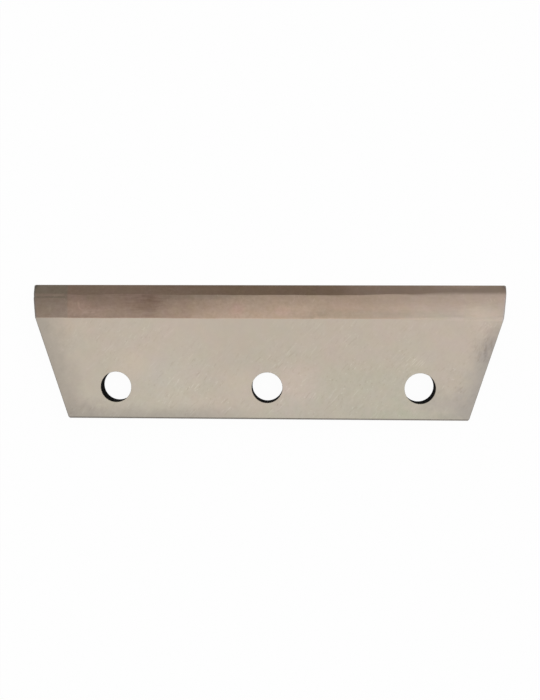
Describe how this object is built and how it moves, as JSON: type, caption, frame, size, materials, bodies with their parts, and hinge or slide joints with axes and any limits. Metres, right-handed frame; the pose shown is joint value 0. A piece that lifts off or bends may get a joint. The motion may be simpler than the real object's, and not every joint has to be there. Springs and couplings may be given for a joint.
{
  "type": "wood chipper knife",
  "caption": "Flat ground steel chipper knife with slanted, undercut ends, a double-bevelled cutting edge and a row of bolt holes near its rear edge.",
  "frame": {"origin": "centre of the middle bolt hole, on the back face, which seats on the knife holder", "axes": "+X along the cutting edge, +Y from the rear edge to the cutting edge, +Z from the back face to the front face"},
  "size_m": [0.2698, 0.0761, 0.0095],
  "materials": {
    "ground_steel": "surface-ground tool steel, warm grey, with fine diagonal scratches and cross-ground bevels"
  },
  "bodies": {
    "root": {"knife": "ground_steel"}
  },
  "joints": []
}
